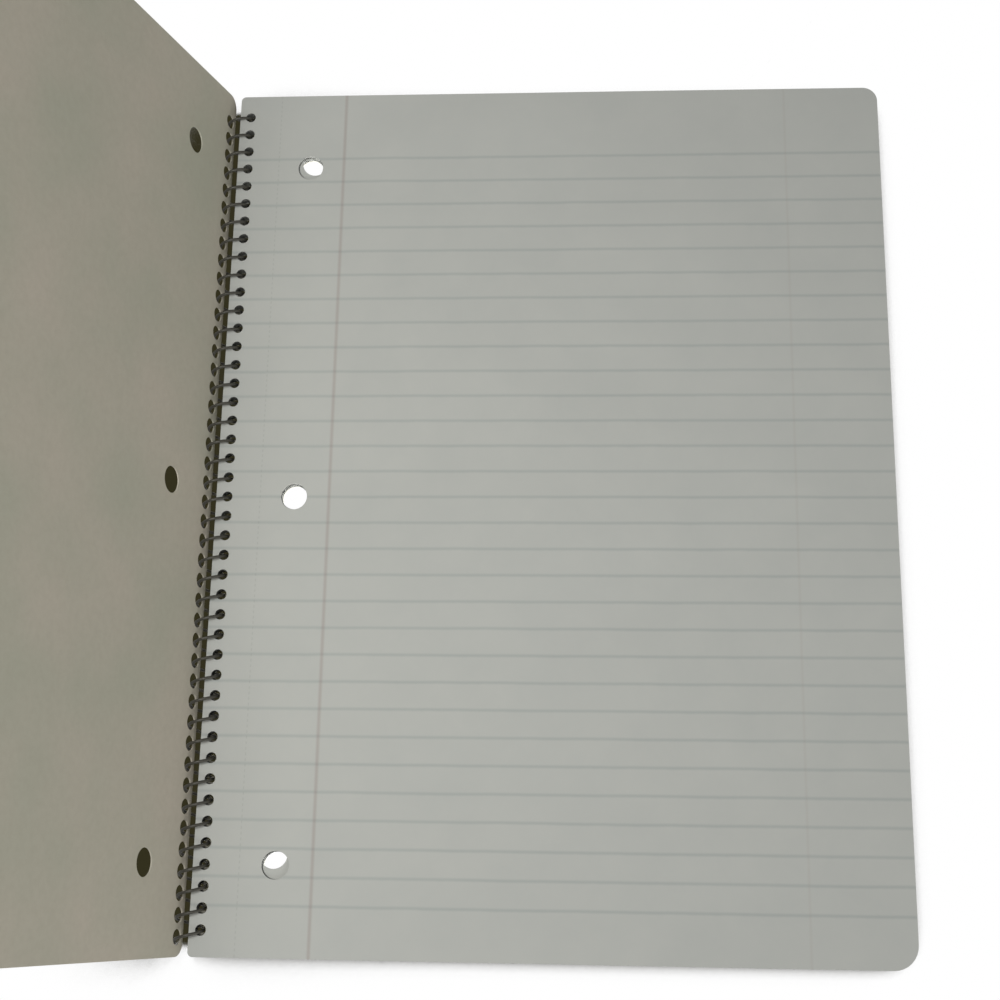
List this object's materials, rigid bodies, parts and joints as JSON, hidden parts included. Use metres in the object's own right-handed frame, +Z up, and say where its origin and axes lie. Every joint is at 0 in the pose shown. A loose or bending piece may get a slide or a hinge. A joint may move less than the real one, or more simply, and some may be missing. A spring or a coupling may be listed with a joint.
{
  "type": "spiral notebook",
  "caption": "Open wire-bound notebook with a pad of ruled sheets, a raised front card cover, a back board and holes for a ring binder.",
  "frame": {"origin": "centre of the middle binder hole, on the underside of the back cover", "axes": "+X across the page away from the spine, +Y up the page, +Z up out of the page; the coil's axis is parallel to Y"},
  "size_m": [0.2582, 0.2666, 0.2004],
  "materials": {
    "ruled_paper": "uncoated writing paper, ruled in pale blue with a red margin line",
    "cover_card": "uncoated grey-beige card on the inside",
    "back_board": "plain grey pulp board",
    "coil_wire": "dark coated steel wire"
  },
  "bodies": {
    "pages": {"page_block": "ruled_paper", "wire_coil": "coil_wire"},
    "front": {"front_cover": "cover_card"},
    "back": {"back_cover": "back_board"}
  },
  "joints": [
    {"name": "front_cover_hinge", "type": "hinge", "parent": "pages", "child": "front", "pos_m": [-0.02398, 0, 0.00225], "axis": [0, -1, 0], "range_deg": [-105, 75]},
    {"name": "back_cover_hinge", "type": "hinge", "parent": "pages", "child": "back", "pos_m": [-0.02368, 0, -0.00003], "axis": [0, 1, 0], "range_deg": [0, 180]}
  ]
}
